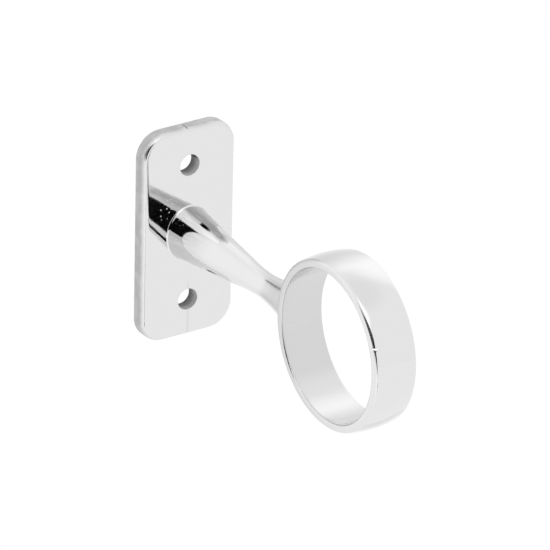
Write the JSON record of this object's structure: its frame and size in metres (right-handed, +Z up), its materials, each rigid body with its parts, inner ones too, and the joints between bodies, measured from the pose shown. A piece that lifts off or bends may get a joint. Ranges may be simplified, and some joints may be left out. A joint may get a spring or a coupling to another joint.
{
  "type": "centre pole bracket",
  "caption": "Polished one-piece wall bracket: a rounded screw plate, a tapered stem that narrows to a waist, and a closed ring that carries a curtain pole along its run.",
  "frame": {"origin": "middle of the plate's back face, on the wall", "axes": "+Z up, +Y into the wall, +X along the pole; the stem leaves the wall along -Y"},
  "size_m": [0.018, 0.0643, 0.038],
  "materials": {
    "chrome_plating": "polished bright plating on a die casting"
  },
  "bodies": {
    "root": {"bracket_casting": "chrome_plating"}
  },
  "joints": []
}
